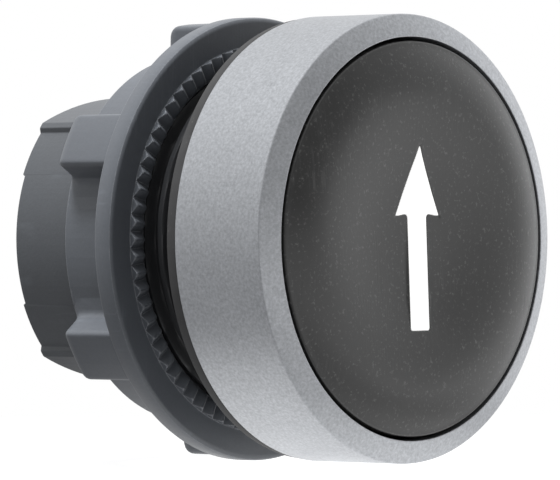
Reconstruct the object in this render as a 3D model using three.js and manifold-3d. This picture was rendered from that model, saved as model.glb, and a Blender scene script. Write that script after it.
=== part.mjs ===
// Flush, spring-return push-button head for a 22 mm panel hole, with an up arrow on its cap.
// Units are millimetres. +Z is up (the arrow's way), +X is right as seen from the front, and the
// head's axis is Y: the cap faces -Y and the neck points to +Y. The origin is on the axis, in the
// plane of the panel's front face, which is the rear face of the gasket.

import * as THREE from 'three';
import { mergeVertices } from 'three/addons/utils/BufferGeometryUtils.js';
import { ParametricGeometry } from 'three/addons/geometries/ParametricGeometry.js';
import Module from 'manifold-3d';

const wasm = await Module();
wasm.setup();

// ---------------------------------------------------------------- driving dimensions

const TURN_STEPS = 48;          // facets round the large turned parts
const SMALL_STEPS = 32;         // facets round the parts inside
const THREAD_STEPS = 24;        // facets in each turn of a thread
const SPRING_STEPS = 12;        // facets in each turn of the spring
const OVERLAP = 0.1;            // how far joined solids run into each other
const CLEAR = 1;                // how far cutting solids run past a face
const FIT_GAP = 0.05;           // all round, between pieces that are pressed or snapped together

// bezel ring, 29 mm across
const BEZEL_R = 14.5;
const BEZEL_LIP_R = 13.0;       // bore that the cap runs in
const BEZEL_REAR = -0.8;
const BEZEL_SHOULDER = -7.9;    // where the front cone starts
const BEZEL_FRONT = -8.53;      // inner end of the front cone
const BEZEL_EDGE = 0.12;        // bevel of its outer edges

// cap, with a dished face
const CAP_R = 12.75;
const CAP_FACE_RINGS = 12;
const CAP_EDGE_ROUND = 0.3;
const CAP_CENTRE = -8.7;        // height of the face at its centre
const CAP_CREST_R = 9.4;        // ring where the dish turns over
const CAP_CREST_RISE = 0.55;
const CAP_OUTER_FALL = 0.75;    // from the crest down to the cap's edge
const CAP_UNDERSIDE = -7.2;
const CAP_SKIRT_END = -6.5;
const CAP_SKIRT_R = 11.65;      // inside of the skirt

// arrow let into the cap
const ARROW_TIP_Z = 5.95;
const ARROW_FOOT_Z = -5.9;
const ARROW_HEAD_Z = 1.65;      // underside of the head
const ARROW_HEAD_HALF = 2.15;
const ARROW_BARB_DROP = 0.15;   // the head's corners hang this far below its underside
const ARROW_BARB_FLAT = 0.35;
const ARROW_SHAFT_HALF = 0.92;
const ARROW_FILLET = 0.4;       // where the head meets the shaft
const ARROW_FLOOR = -8.1;       // bottom of its pocket

// travel of the cap, its carrier and the pusher
const TRAVEL = 4.3;

// carrier under the cap
const CARRIER_DISC_R = 11.5;
const CARRIER_DISC_REAR = CAP_UNDERSIDE + 1.0;
const CARRIER_TUBE_R = 9.0;
const CARRIER_TUBE_WALL = 0.9;
const CARRIER_TUBE_END = -0.9;
const HUB_R = 3.9;
const HUB_BORE_R = 2.25;
const HUB_BORE_FRONT = 1.5;

// housing
const FLANGE_R = 13.7;
const FLANGE_FRONT = CARRIER_DISC_REAR + TRAVEL + 0.2;
const GUIDE_BORE_R = 9.2;
const SEAL_POCKET_R = 10.3;
const SEAL_POCKET_REAR = 0;
const LEDGE = 7.2;              // step in the bore that the guide insert rests on
const REAR_BORE_R = 8.8;
const NECK_PLAIN_R = 11.0;
const NECK_PLAIN_REAR = 0.4;
const THREAD_ROOT_R = 10.45;
const THREAD_CREST_R = 11.15;
const THREAD_PITCH = 1.5;
const THREAD_FRONT = 0.9;
const THREAD_REAR = 10.1;
const KEY_WIDTH = 3.0;
const KEY_TOP_Z = 12.0;
const KEY_REAR = 1.0;

// thread profile, as parts of the pitch, and how many turns it takes to fade out
const RIDGE_FOOT_HALF = 0.36;
const RIDGE_CREST_HALF = 0.12;
const RIDGE_FADE_TURNS = 0.35;

// rear of the housing, round at the sides with a shallow pad above and below
const REAR_BODY_R = 10.95;
const REAR_BODY_FRONT = 10.8;
const REAR_RIM = 16.8;
const PAD_ARC_R = 20;
const PAD_PEAK_Z = 9.5;
const PAD_CORNER_X = 8.2;
const PAD_EAR_X = 8.45;
const PAD_EAR_Z = 7.4;
const PAD_FOOT_Z = 7.05;
const RIM_NOTCH_DEPTH = 0.2;
const RIM_NOTCH_HALF_Z = 4.2;

// guide insert: the floor that the spring stands on, with ribs in pairs round the pusher's arms
const FLOOR_FRONT = 6.0;
const FLOOR_REAR = LEDGE;
const FLOOR_HOLE_R = 4.2;
const RIB_THICK = 0.8;
const RIB_INNER = 7.5;          // from the axis, along the arm
const RIB_OUTER = 8.3;
const RIB_REAR = 16.0;
const RIB_GAP = 0.25;           // between a rib and the arm

// pusher behind the floor
const PUSHER_SPIGOT_R = 2.0;
const PUSHER_SPIGOT_FRONT = 2.2;
const PUSHER_COLLAR_R = 6.4;
const WASHER_THICK = 0.6;
const WASHER_R = 6.2;
const WASHER_BORE_R = 4.4;
const PUSHER_COLLAR_FRONT = FLOOR_REAR + WASHER_THICK;
const PUSHER_COLLAR_THICK = 1.4;
const PUSHER_ARM_FRONT = 8.2;
const PUSHER_ARM_R = 8.3;
const PUSHER_ARM_HALF = 1.5;
const PUSHER_ARM_REAR = 12.6;
const PUSHER_FOOT_INNER_R = 5.6;
const PUSHER_FOOT_REAR = 14.4;

// fixing nut
const NUT_BORE_R = 11.35;
const NUT_FLANGE_R = 14.6;
const NUT_FACE = 4.7;
const NUT_FLANGE_REAR = 6.1;
const NUT_NECK_R = 12.15;
const NUT_REAR = 11.0;
const CROWN_TEETH = 72;
const CROWN_INNER_R = 11.55;
const CROWN_OUTER_R = 12.7;
const CROWN_HEIGHT = 0.55;
const CROWN_VALLEY = 0.02;      // the valleys stand this far ahead of the nut's face
const CROWN_ROOT = 0.3;         // the teeth are sunk this far into the flange
const LOBES = 6;
const LOBE_TURN = -180 / CROWN_TEETH; // degrees from the top, which puts a lobe behind a valley of the crown
const LOBE_R = 14.3;
const LOBE_TOP_HALF = 1.85;
const LOBE_WAIST_HALF = 1.95;   // where the straight flank ends
const LOBE_WAIST_Z = 13.0;
const LOBE_FOOT_HALF = 3.05;    // where the fillet has run into the neck
const LOBE_FOOT_Z = 11.6;
const LOBE_REAR = 10.85;
const LOBE_CORNER_R = 1.2;
const LOBE_CORNER_STEPS = 4;
const LOBE_FRONT = 5.2;         // inside the flange
const NUT_RIM_EDGE = 0.15;
const NUT_NECK_EDGE = 0.1;
const NUT_THREAD_R = 11.65;     // root of the thread inside the nut
const NUT_THREAD_FRONT = 5.6;
const NUT_THREAD_REAR = 10.3;

// gasket
const GASKET_R = 14.4;
const GASKET_BORE_R = 11.1;
const GASKET_EDGE = 0.15;
const GASKET_NOTCH_GAP = 0.3;

// lip seal round the carrier's tube, and the ring that holds it in its pocket
const RETAINER_THICK = 0.5;
const SEAL_LIP_GAP = 0.1;       // between the lip and the tube
const SEAL_LIP_DEPTH = 0.5;
const SEAL_BACK = 0.3;          // the seal's body stands this far behind the lip, radially
const SEAL_WAIST = 0.5;

// return spring
const SPRING_MEAN_R = 6.2;
const SPRING_WIRE_R = 0.4;
const SPRING_ACTIVE_TURNS = 6;
const SPRING_END_PITCH = 0.88;
const SPRING_END_GAP = 0.05;

// ---------------------------------------------------------------- solids and meshes

/** A closed solid from a three.js geometry, for joining and cutting. */
function solid(geometry) {
  const bare = geometry.clone();
  for (const name of Object.keys(bare.attributes)) {
    if (name !== 'position') bare.deleteAttribute(name);
  }
  const merged = mergeVertices(bare, 1e-5);
  const corners = merged.index.array;
  const kept = [];
  for (let i = 0; i < corners.length; i += 3) {
    const [a, b, c] = corners.slice(i, i + 3);
    if (a !== b && b !== c && c !== a) kept.push(a, b, c);
  }
  return new wasm.Manifold(new wasm.Mesh({
    numProp: 3,
    vertProperties: new Float32Array(merged.attributes.position.array),
    triVerts: new Uint32Array(kept),
  }));
}

/** The first solid with all the others joined to it. */
function joined(first, ...others) {
  return others.reduce((whole, piece) => whole.add(piece), first);
}

/** The first solid with all the others cut from it. */
function cut(first, ...others) {
  return others.reduce((whole, piece) => whole.subtract(piece), first);
}

/** A named mesh of a finished solid, in its own plain material. */
function part(name, piece, color, roughness, metalness = 0) {
  const surface = piece.getMesh();
  const geometry = new THREE.BufferGeometry();
  geometry.setAttribute('position', new THREE.BufferAttribute(surface.vertProperties, 3));
  geometry.setIndex(new THREE.BufferAttribute(surface.triVerts, 1));
  geometry.computeVertexNormals();
  const material = new THREE.MeshStandardMaterial({ color, roughness, metalness });
  const mesh = new THREE.Mesh(geometry, material);
  mesh.name = name;
  return mesh;
}

/** A profile of [radius, y] points turned about the Y axis. Outer points run towards +Y. */
function turned(profile, steps = TURN_STEPS) {
  const points = profile.map(([r, y]) => new THREE.Vector2(r, y));
  return solid(new THREE.LatheGeometry(points, steps));
}

/** A plain ring, or a disc where inner is 0, from front to rear. */
function ring(inner, outer, front, rear, steps = TURN_STEPS) {
  const profile = [[inner, front], [outer, front], [outer, rear], [inner, rear]];
  return turned(inner > 0 ? [...profile, profile[0]] : profile, steps);
}

/** An outline in X and Z carried along Y from front to rear. */
function prism(outline, front, rear, curveSegments = 8) {
  const options = { depth: rear - front, bevelEnabled: false, curveSegments };
  const geometry = new THREE.ExtrudeGeometry(outline, options);
  geometry.rotateX(Math.PI / 2);
  geometry.translate(0, rear, 0);
  return solid(geometry);
}

/** A box between two opposite corners. */
function block(low, high) {
  const size = high.map((value, axis) => value - low[axis]);
  const geometry = new THREE.BoxGeometry(...size);
  geometry.translate(...high.map((value, axis) => (value + low[axis]) / 2));
  return solid(geometry);
}

/** Copies of a solid turned about the Y axis, evenly spaced from the first angle. */
function spread(piece, count, firstDegrees = 0) {
  const copies = [];
  for (let i = 0; i < count; i += 1) {
    copies.push(piece.rotate([0, firstDegrees + (360 * i) / count, 0]));
  }
  return joined(...copies);
}

/**
 * A helical ridge about the Y axis that fades out at both ends. It runs from footR, which lies
 * inside the solid that it is joined to or cut from, out to a flat crest at crestR.
 */
function threadRidge(footR, crestR, front, rear) {
  const turns = (rear - front) / THREAD_PITCH;
  const fade = RIDGE_FADE_TURNS / turns;
  const foot = THREAD_PITCH * RIDGE_FOOT_HALF;
  const crest = THREAD_PITCH * RIDGE_CREST_HALF;
  const corners = [[footR, -foot], [footR, foot], [crestR, crest], [crestR, -crest]];
  const place = (across, along, target) => {
    const size = Math.min(1, along / fade, (1 - along) / fade);
    const corner = corners[Math.round(across * 4) % 4];
    const r = footR + (corner[0] - footR) * size;
    const y = front + along * (rear - front) + corner[1] * size;
    const angle = along * turns * 2 * Math.PI;
    target.set(r * Math.sin(angle), y, r * Math.cos(angle));
  };
  return solid(new ParametricGeometry(place, 4, Math.round(turns * THREAD_STEPS)));
}

// ---------------------------------------------------------------- cap and arrow

/** Y of the cap's dished face at a radius. */
function capFace(r) {
  if (r <= CAP_CREST_R) {
    const rise = Math.sin((Math.PI / 2) * (r / CAP_CREST_R) ** 1.5) ** 2;
    return CAP_CENTRE - CAP_CREST_RISE * rise;
  }
  const beyond = (r - CAP_CREST_R) / (CAP_R - CAP_CREST_R);
  return CAP_CENTRE - CAP_CREST_RISE + CAP_OUTER_FALL * beyond ** 2;
}

/** The dished face's profile from the centre to the rounded edge. */
function capFaceProfile() {
  const faceR = CAP_R - CAP_EDGE_ROUND;
  const faceEnd = capFace(faceR);
  const profile = [[0, capFace(0)]];
  for (let i = 1; i <= CAP_FACE_RINGS; i += 1) {
    const r = (faceR * i) / CAP_FACE_RINGS;
    profile.push([r, capFace(r)]);
  }
  const middle = CAP_EDGE_ROUND * (1 - Math.SQRT1_2);
  profile.push([CAP_R - middle, faceEnd + middle]);
  profile.push([CAP_R, faceEnd + CAP_EDGE_ROUND]);
  return profile;
}

/** The arrow's outline in X and Z, grown by a margin. Its sharp corners move further out. */
function arrowOutline(margin) {
  const shaft = ARROW_SHAFT_HALF + margin;
  const barb = ARROW_HEAD_HALF + margin * 1.5;
  const under = ARROW_HEAD_Z - margin;
  const barbZ = under - ARROW_BARB_DROP;
  const filletZ = under - ARROW_FILLET / 4;
  const outline = new THREE.Shape();
  outline.moveTo(0, ARROW_TIP_Z + margin * 2);
  outline.lineTo(-barb, barbZ);
  outline.lineTo(-barb + ARROW_BARB_FLAT, barbZ);
  outline.quadraticCurveTo(-shaft - ARROW_FILLET, under, -shaft, filletZ);
  outline.lineTo(-shaft, ARROW_FOOT_Z - margin);
  outline.lineTo(shaft, ARROW_FOOT_Z - margin);
  outline.lineTo(shaft, filletZ);
  outline.quadraticCurveTo(shaft + ARROW_FILLET, under, barb - ARROW_BARB_FLAT, barbZ);
  outline.lineTo(barb, barbZ);
  outline.closePath();
  return outline;
}

/** The arrow's column, from ahead of the cap's face to the floor of its pocket. */
function arrowColumn(margin) {
  return prism(arrowOutline(margin), CAP_CENTRE - CAP_CREST_RISE - CLEAR, ARROW_FLOOR, 3);
}

function buttonCap() {
  const whole = turned([
    ...capFaceProfile(),
    [CAP_R, CAP_SKIRT_END],
    [CAP_SKIRT_R, CAP_SKIRT_END],
    [CAP_SKIRT_R, CAP_UNDERSIDE],
    [0, CAP_UNDERSIDE],
  ]);
  return cut(whole, arrowColumn(FIT_GAP));
}

function arrowInlay() {
  const underFace = turned([...capFaceProfile(), [CAP_R, ARROW_FLOOR], [0, ARROW_FLOOR]]);
  return arrowColumn(0).intersect(underFace);
}

// ---------------------------------------------------------------- moving parts inside

function capCarrier() {
  const tubeBore = CARRIER_TUBE_R - CARRIER_TUBE_WALL;
  return turned([
    [0, CAP_UNDERSIDE],
    [CARRIER_DISC_R, CAP_UNDERSIDE],
    [CARRIER_DISC_R, CARRIER_DISC_REAR],
    [CARRIER_TUBE_R, CARRIER_DISC_REAR],
    [CARRIER_TUBE_R, CARRIER_TUBE_END],
    [tubeBore, CARRIER_TUBE_END],
    [tubeBore, CARRIER_DISC_REAR],
    [HUB_R, CARRIER_DISC_REAR],
    [HUB_R, PUSHER_COLLAR_FRONT],
    [HUB_BORE_R, PUSHER_COLLAR_FRONT],
    [HUB_BORE_R, HUB_BORE_FRONT],
    [0, HUB_BORE_FRONT],
  ], SMALL_STEPS);
}

function pusher() {
  const collarRear = PUSHER_COLLAR_FRONT + PUSHER_COLLAR_THICK;
  const arm = block(
    [0, PUSHER_ARM_FRONT, -PUSHER_ARM_HALF],
    [PUSHER_ARM_R, PUSHER_ARM_REAR, PUSHER_ARM_HALF],
  );
  const foot = block(
    [PUSHER_FOOT_INNER_R, collarRear, -PUSHER_ARM_HALF],
    [PUSHER_ARM_R, PUSHER_FOOT_REAR, PUSHER_ARM_HALF],
  );
  const spigot = ring(0, PUSHER_SPIGOT_R, PUSHER_SPIGOT_FRONT, collarRear, SMALL_STEPS);
  const collar = ring(0, PUSHER_COLLAR_R, PUSHER_COLLAR_FRONT, collarRear, SMALL_STEPS);
  return joined(spigot, collar, spread(joined(arm, foot), 4));
}

/** The helix of the spring's wire, with a closed turn at each end. */
class SpringPath extends THREE.Curve {
  constructor(front, rear) {
    super();
    this.front = front;
    this.rear = rear;
    this.turns = SPRING_ACTIVE_TURNS + 2;
  }

  getPoint(t, target = new THREE.Vector3()) {
    const turn = t * this.turns;
    const openPitch = (this.rear - this.front - 2 * SPRING_END_PITCH) / SPRING_ACTIVE_TURNS;
    const opened = Math.min(Math.max(turn - 1, 0), SPRING_ACTIVE_TURNS);
    const closed = turn - opened;
    const y = this.front + closed * SPRING_END_PITCH + opened * openPitch;
    const angle = turn * 2 * Math.PI;
    return target.set(SPRING_MEAN_R * Math.cos(angle), y, SPRING_MEAN_R * Math.sin(angle));
  }
}

function returnSpring() {
  const inset = SPRING_WIRE_R + SPRING_END_GAP;
  const path = new SpringPath(CARRIER_DISC_REAR + inset, FLOOR_FRONT - inset);
  const wire = new THREE.Shape().absarc(0, 0, SPRING_WIRE_R, 0, 2 * Math.PI, false);
  const options = { steps: path.turns * SPRING_STEPS, curveSegments: 3, extrudePath: path };
  return solid(new THREE.ExtrudeGeometry(wire, options));
}

// ---------------------------------------------------------------- seals

function plungerSeal() {
  const lip = CARRIER_TUBE_R + SEAL_LIP_GAP;
  const outer = SEAL_POCKET_R - FIT_GAP;
  const front = FLANGE_FRONT + RETAINER_THICK + FIT_GAP;
  const rear = SEAL_POCKET_REAR - FIT_GAP;
  return turned([
    [lip + SEAL_WAIST, front + SEAL_LIP_DEPTH],
    [lip, front + SEAL_LIP_GAP],
    [lip + SEAL_BACK, front],
    [outer, front],
    [outer, rear],
    [lip + SEAL_BACK, rear],
    [lip + SEAL_BACK, front + SEAL_LIP_DEPTH * 1.8],
    [lip + SEAL_WAIST, front + SEAL_LIP_DEPTH],
  ], SMALL_STEPS);
}

function sealRetainer() {
  const outer = SEAL_POCKET_R - FIT_GAP;
  return ring(GUIDE_BORE_R, outer, FLANGE_FRONT, FLANGE_FRONT + RETAINER_THICK, SMALL_STEPS);
}

function returnStopWasher() {
  return ring(WASHER_BORE_R, WASHER_R, FLOOR_REAR, PUSHER_COLLAR_FRONT, SMALL_STEPS);
}

function panelGasket() {
  const disc = turned([
    [GASKET_BORE_R, BEZEL_REAR],
    [GASKET_R - GASKET_EDGE, BEZEL_REAR],
    [GASKET_R, BEZEL_REAR + GASKET_EDGE],
    [GASKET_R, -GASKET_EDGE],
    [GASKET_R - GASKET_EDGE, 0],
    [GASKET_BORE_R, 0],
    [GASKET_BORE_R, BEZEL_REAR],
  ]);
  const half = KEY_WIDTH / 2 + GASKET_NOTCH_GAP;
  const top = KEY_TOP_Z + GASKET_NOTCH_GAP;
  return cut(disc, block([-half, BEZEL_REAR - CLEAR, 0], [half, CLEAR, top]));
}

// ---------------------------------------------------------------- bezel, housing and nut

function bezelRing() {
  const seat = FLANGE_R + FIT_GAP;
  const coneSlope = (BEZEL_SHOULDER - BEZEL_FRONT) / (BEZEL_R - BEZEL_LIP_R);
  return turned([
    [BEZEL_LIP_R, BEZEL_FRONT],
    [BEZEL_R - BEZEL_EDGE, BEZEL_SHOULDER - BEZEL_EDGE * coneSlope],
    [BEZEL_R, BEZEL_SHOULDER + BEZEL_EDGE],
    [BEZEL_R, BEZEL_REAR - BEZEL_EDGE],
    [BEZEL_R - BEZEL_EDGE, BEZEL_REAR],
    [seat, BEZEL_REAR],
    [seat, FLANGE_FRONT],
    [BEZEL_LIP_R, FLANGE_FRONT],
    [BEZEL_LIP_R, BEZEL_FRONT],
  ]);
}

/** The rear body's outline in X and Z: a circle whose top and bottom are cut to shallow pads. */
function rearBodyOutline() {
  const padCentreZ = PAD_PEAK_Z - PAD_ARC_R;
  const padAngle = Math.acos(PAD_CORNER_X / PAD_ARC_R);
  const padCornerZ = padCentreZ + PAD_ARC_R * Math.sin(padAngle);
  const sideAngle = Math.asin(PAD_FOOT_Z / REAR_BODY_R);
  const outline = new THREE.Shape();
  outline.absarc(0, 0, REAR_BODY_R, -sideAngle, sideAngle, false);
  outline.lineTo(PAD_EAR_X, PAD_EAR_Z);
  outline.lineTo(PAD_CORNER_X, padCornerZ);
  outline.absarc(0, padCentreZ, PAD_ARC_R, padAngle, Math.PI - padAngle, false);
  outline.lineTo(-PAD_EAR_X, PAD_EAR_Z);
  outline.absarc(0, 0, REAR_BODY_R, Math.PI - sideAngle, Math.PI + sideAngle, false);
  outline.lineTo(-PAD_EAR_X, -PAD_EAR_Z);
  outline.lineTo(-PAD_CORNER_X, -padCornerZ);
  outline.absarc(0, -padCentreZ, PAD_ARC_R, Math.PI + padAngle, 2 * Math.PI - padAngle, false);
  outline.lineTo(PAD_EAR_X, -PAD_EAR_Z);
  return outline;
}

function bodyHousing() {
  const flange = ring(0, FLANGE_R, FLANGE_FRONT, BEZEL_REAR);
  const shoulder = ring(0, NECK_PLAIN_R, BEZEL_REAR - OVERLAP, NECK_PLAIN_REAR);
  const core = ring(0, THREAD_ROOT_R, BEZEL_REAR - OVERLAP, REAR_BODY_FRONT + OVERLAP);
  const thread = threadRidge(THREAD_ROOT_R - OVERLAP, THREAD_CREST_R, THREAD_FRONT, THREAD_REAR);
  const rearBody = prism(rearBodyOutline(), REAR_BODY_FRONT, REAR_RIM, 14);
  const key = block(
    [-KEY_WIDTH / 2, BEZEL_REAR - OVERLAP, NECK_PLAIN_R - CLEAR],
    [KEY_WIDTH / 2, KEY_REAR, KEY_TOP_Z],
  );
  const sideNotches = block(
    [-BEZEL_R, REAR_RIM - RIM_NOTCH_DEPTH, -RIM_NOTCH_HALF_Z],
    [BEZEL_R, REAR_RIM + CLEAR, RIM_NOTCH_HALF_Z],
  );
  return cut(
    joined(flange, shoulder, core, thread, rearBody, key),
    ring(0, SEAL_POCKET_R, FLANGE_FRONT - CLEAR, SEAL_POCKET_REAR, SMALL_STEPS),
    ring(0, GUIDE_BORE_R, FLANGE_FRONT - CLEAR, LEDGE, SMALL_STEPS),
    ring(0, REAR_BORE_R, LEDGE - CLEAR, REAR_RIM + CLEAR, SMALL_STEPS),
    sideNotches,
  );
}

/** The pair of ribs that guide one arm of the pusher. */
function guideRibs() {
  const near = PUSHER_ARM_HALF + RIB_GAP;
  const far = near + RIB_THICK;
  const front = FLOOR_REAR - OVERLAP;
  return joined(
    block([RIB_INNER, front, near], [RIB_OUTER, RIB_REAR, far]),
    block([RIB_INNER, front, -far], [RIB_OUTER, RIB_REAR, -near]),
  );
}

function guideInsert() {
  const outer = GUIDE_BORE_R - FIT_GAP;
  const floor = ring(FLOOR_HOLE_R, outer, FLOOR_FRONT, FLOOR_REAR, SMALL_STEPS);
  return joined(floor, spread(guideRibs(), 4));
}

/**
 * The ring of radial teeth on the nut's face. Each tooth is one ray of the lathe on its crest and
 * one in the valley, so the front ends of every second ray drop back to the nut's face.
 */
function crown() {
  const crest = NUT_FACE - CROWN_HEIGHT;
  const profile = [
    [CROWN_INNER_R, crest],
    [CROWN_OUTER_R, crest],
    [CROWN_OUTER_R, NUT_FACE + CROWN_ROOT],
    [CROWN_INNER_R, NUT_FACE + CROWN_ROOT],
    [CROWN_INNER_R, crest],
  ];
  const points = profile.map(([r, y]) => new THREE.Vector2(r, y));
  const geometry = new THREE.LatheGeometry(points, CROWN_TEETH * 2);
  const position = geometry.attributes.position;
  for (let i = 0; i < position.count; i += 1) {
    const ray = Math.floor(i / points.length);
    if (ray % 2 === 1 && position.getY(i) < NUT_FACE) position.setY(i, NUT_FACE - CROWN_VALLEY);
  }
  return solid(geometry);
}

/** One grip lobe's outline in X and Z, standing up from the nut's neck at the top. */
function lobeOutline() {
  const bendX = (LOBE_WAIST_HALF + LOBE_FOOT_HALF) / 2 - CLEAR / 4;
  const bendZ = (LOBE_WAIST_Z + LOBE_FOOT_Z) / 2 - OVERLAP;
  const outline = new THREE.Shape();
  outline.moveTo(-LOBE_FOOT_HALF, LOBE_FOOT_Z);
  outline.quadraticCurveTo(-bendX, bendZ, -LOBE_WAIST_HALF, LOBE_WAIST_Z);
  outline.lineTo(-LOBE_TOP_HALF, LOBE_R);
  outline.lineTo(LOBE_TOP_HALF, LOBE_R);
  outline.lineTo(LOBE_WAIST_HALF, LOBE_WAIST_Z);
  outline.quadraticCurveTo(bendX, bendZ, LOBE_FOOT_HALF, LOBE_FOOT_Z);
  outline.closePath();
  return outline;
}

/** The lobes, rounded off to one turned envelope with a rounded rear corner. */
function lobes() {
  const envelope = [[0, LOBE_FRONT], [LOBE_R, LOBE_FRONT]];
  for (let i = 0; i <= LOBE_CORNER_STEPS; i += 1) {
    const angle = (i / LOBE_CORNER_STEPS) * (Math.PI / 2);
    envelope.push([
      LOBE_R - LOBE_CORNER_R * (1 - Math.cos(angle)),
      LOBE_REAR - LOBE_CORNER_R * (1 - Math.sin(angle)),
    ]);
  }
  envelope.push([0, LOBE_REAR]);
  const lobe = prism(lobeOutline(), LOBE_FRONT, LOBE_REAR, 3);
  return spread(lobe, LOBES, LOBE_TURN).intersect(turned(envelope, TURN_STEPS * 2));
}

function fixingNut() {
  const blank = turned([
    [0, NUT_FACE],
    [NUT_FLANGE_R - NUT_RIM_EDGE, NUT_FACE],
    [NUT_FLANGE_R, NUT_FACE + NUT_RIM_EDGE],
    [NUT_FLANGE_R, NUT_FLANGE_REAR - NUT_RIM_EDGE],
    [NUT_FLANGE_R - NUT_RIM_EDGE, NUT_FLANGE_REAR],
    [NUT_NECK_R, NUT_FLANGE_REAR],
    [NUT_NECK_R, NUT_REAR - NUT_NECK_EDGE],
    [NUT_NECK_R - NUT_NECK_EDGE, NUT_REAR],
    [0, NUT_REAR],
  ]);
  const bore = ring(0, NUT_BORE_R, NUT_FACE - CLEAR, NUT_REAR + CLEAR);
  const footR = NUT_BORE_R - OVERLAP;
  const thread = threadRidge(footR, NUT_THREAD_R, NUT_THREAD_FRONT, NUT_THREAD_REAR);
  return cut(joined(blank, crown(), lobes()), bore, thread);
}

// ---------------------------------------------------------------- the assembly

const button = new THREE.Group();
button.add(
  part('button_cap', buttonCap(), 0x1c1c1b, 0.45),
  part('arrow_inlay', arrowInlay(), 0xf7f7f5, 0.5),
  part('cap_carrier', capCarrier(), 0x2a2b2c, 0.55),
  part('pusher', pusher(), 0x26282a, 0.5),
);

const head = new THREE.Group();
head.add(
  part('bezel_ring', bezelRing(), 0xa4a7aa, 0.4, 0.6),
  part('body_housing', bodyHousing(), 0x47494c, 0.6),
  part('guide_insert', guideInsert(), 0x2c2e30, 0.55),
  part('panel_gasket', panelGasket(), 0x1f1f1f, 0.85),
  part('plunger_seal', plungerSeal(), 0x191919, 0.85),
  part('seal_retainer', sealRetainer(), 0x303234, 0.55),
  part('return_stop_washer', returnStopWasher(), 0x1d1d1d, 0.85),
  part('return_spring', returnSpring(), 0xb9bcbf, 0.3, 1.0),
);

const pushButtonHead = new THREE.Group();
pushButtonHead.add(head, button, part('fixing_nut', fixingNut(), 0x54585c, 0.55));

export default pushButtonHead;
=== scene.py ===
"""Looks for a flush push-button head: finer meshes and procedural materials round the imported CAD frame.

Lengths in this script are millimetres unless they end in _m; every mesh is scaled to metres when it is made.
Radii are measured from the head's Y axis, and angles round it start at +Z and run towards +X.
"""

import math

import bmesh
import bpy
from mathutils import Euler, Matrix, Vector
from mathutils.geometry import delaunay_2d_cdt


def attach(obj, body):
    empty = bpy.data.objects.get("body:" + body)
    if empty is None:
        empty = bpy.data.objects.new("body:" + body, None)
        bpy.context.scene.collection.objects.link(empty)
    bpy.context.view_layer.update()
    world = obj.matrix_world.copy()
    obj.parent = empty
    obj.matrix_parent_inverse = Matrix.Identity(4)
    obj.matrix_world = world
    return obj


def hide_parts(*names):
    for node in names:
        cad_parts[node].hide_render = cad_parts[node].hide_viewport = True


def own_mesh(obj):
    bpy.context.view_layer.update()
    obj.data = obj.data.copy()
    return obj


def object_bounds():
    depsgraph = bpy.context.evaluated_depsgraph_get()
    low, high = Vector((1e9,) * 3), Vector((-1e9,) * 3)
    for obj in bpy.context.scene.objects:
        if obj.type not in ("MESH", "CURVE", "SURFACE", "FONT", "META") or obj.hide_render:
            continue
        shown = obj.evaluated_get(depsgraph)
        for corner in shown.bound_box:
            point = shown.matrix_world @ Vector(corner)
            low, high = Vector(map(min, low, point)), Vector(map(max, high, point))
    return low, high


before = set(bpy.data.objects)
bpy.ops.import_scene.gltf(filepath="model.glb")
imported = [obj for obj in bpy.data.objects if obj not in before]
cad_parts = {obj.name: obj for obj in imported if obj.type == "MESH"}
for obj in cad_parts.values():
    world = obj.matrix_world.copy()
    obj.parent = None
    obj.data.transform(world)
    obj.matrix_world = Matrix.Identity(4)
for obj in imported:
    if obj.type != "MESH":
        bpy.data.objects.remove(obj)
cad_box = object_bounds()

MM = 0.001
TAU = 2 * math.pi

# ---------------------------------------------------------------- dimensions

# The main sizes are the CAD nodes' own. The small roundings are only here.
BEZEL_R, BEZEL_BORE_R, BEZEL_SEAT_R = 14.5, 13.0, 13.75
BEZEL_LIP, BEZEL_SHOULDER, BEZEL_REAR, BEZEL_SEAT = -8.53, -7.9, -0.8, -1.7

CAP_R, CAP_EDGE, CAP_SKIRT_R, CAP_REAR, CAP_UNDERSIDE = 12.75, 0.2, 11.65, -6.5, -7.2
CAP_CENTRE, CAP_CREST_R, CAP_CREST_RISE, CAP_OUTER_FALL = -8.7, 9.4, 0.5495, 0.75
FACE_SPACING = 0.24             # between the points of the dished face's mesh
ARROW_SINK = 0.03               # the edges of the arrow and its pocket lie this far below the face
ARROW_DEPTH, POCKET_DEPTH = 0.4, 0.45

ARROW_SHAFT_HALF, ARROW_BARB_HALF, ARROW_FOOT, ARROW_UNDER, ARROW_TIP = 0.92, 2.15, -5.9, 1.65, 5.95

GASKET_FRONT, GASKET_BORE_R = -0.8, 11.1
KEYWAY_HALF, KEYWAY_TOP = 1.8, 12.3
# outlines of turned shapes are lists of (radius, y)
GASKET_EDGE = (
    (14.25, GASKET_FRONT), (14.36, -0.76), (14.4, -0.65), (14.4, -0.15), (14.36, -0.04), (14.25, 0.0),
)

THREAD_ROOT_R, THREAD_CREST_R, THREAD_PITCH = 10.45, 11.15, 1.5
THREAD_FRONT, THREAD_REAR, THREAD_FADE = 0.9, 10.1, 0.52
THREAD_CREST_HALF, THREAD_FOOT_HALF = 0.18, 0.49
NECK_FRONT, NECK_REAR, NECK_RINGS = 0.42, 10.72, 136
HOUSING_FRONT = (
    (10.3, 0.0), (10.3, -1.65), (10.35, -1.7), (13.6, -1.7), (13.7, -1.6), (13.7, -0.85),
    (13.65, -0.8), (11.0, -0.8), (11.0, 0.35), (10.95, 0.4), (THREAD_ROOT_R, NECK_FRONT),
)
HOUSING_BORE = ((8.8, 16.45), (8.8, 7.25), (8.85, 7.2), (9.2, 7.2), (9.2, 0.0))
BODY_R, BODY_SIDE_TOP, PAD_R, PAD_TOP, PAD_HALF, EAR = 10.95, 7.05, 20, 9.5, 8.2, (8.45, 7.4)
KEY_LOW, KEY_HIGH, KEY_EDGE = (-1.5, -0.85, 10.2), (1.5, 1.0, 12.0), 0.12
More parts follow.
